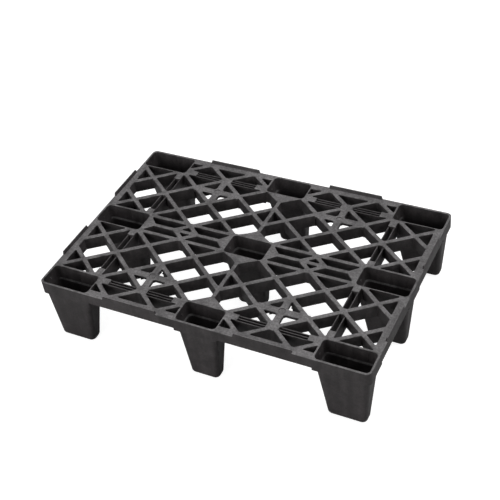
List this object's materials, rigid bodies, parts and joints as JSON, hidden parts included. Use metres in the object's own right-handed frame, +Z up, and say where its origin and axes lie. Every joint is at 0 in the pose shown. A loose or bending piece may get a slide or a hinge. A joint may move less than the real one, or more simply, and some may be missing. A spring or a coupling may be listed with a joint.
{
  "type": "plastic pallet",
  "caption": "Nestable quarter-size plastic display pallet: open diamond-lattice deck with raised safety lips on hollow tapered feet.",
  "frame": {"origin": "on the floor plane, under the middle of the pallet", "axes": "+X along the 600 mm long side, +Y towards the back long side, +Z up"},
  "size_m": [0.6, 0.4, 0.132],
  "materials": {
    "moulding": "black recycled polyolefin with a fine, slightly scuffed moulded grain"
  },
  "bodies": {
    "root": {"edge_rail_back_left": "moulding", "edge_rail_back_right": "moulding", "edge_rail_front_left": "moulding", "edge_rail_front_right": "moulding", "foot_back_centre": "moulding", "foot_back_left": "moulding", "foot_back_right": "moulding", "foot_front_centre": "moulding", "foot_front_left": "moulding", "foot_front_right": "moulding", "foot_middle_centre": "moulding", "foot_middle_left": "moulding", "foot_middle_right": "moulding", "lattice_inner_back_left": "moulding", "lattice_inner_back_right": "moulding", "lattice_inner_front_left": "moulding", "lattice_inner_front_right": "moulding", "lattice_middle_back_left": "moulding", "lattice_middle_back_right": "moulding", "lattice_middle_front_left": "moulding", "lattice_middle_front_right": "moulding", "lattice_outer_back_left": "moulding", "lattice_outer_back_right": "moulding", "lattice_outer_front_left": "moulding", "lattice_outer_front_right": "moulding", "lip_long_back_left": "moulding", "lip_long_back_right": "moulding", "lip_long_front_left": "moulding", "lip_long_front_right": "moulding", "lip_short_back_left": "moulding", "lip_short_back_right": "moulding", "lip_short_front_left": "moulding", "lip_short_front_right": "moulding", "middle_band_left": "moulding", "middle_band_right": "moulding", "side_panel_back_left": "moulding", "side_panel_back_right": "moulding", "side_panel_front_left": "moulding", "side_panel_front_right": "moulding", "spine_back": "moulding", "spine_front": "moulding", "star_back_left": "moulding", "star_back_right": "moulding", "star_front_left": "moulding", "star_front_right": "moulding", "trough_back_left": "moulding", "trough_back_right": "moulding", "trough_front_left": "moulding", "trough_front_right": "moulding"}
  },
  "joints": []
}
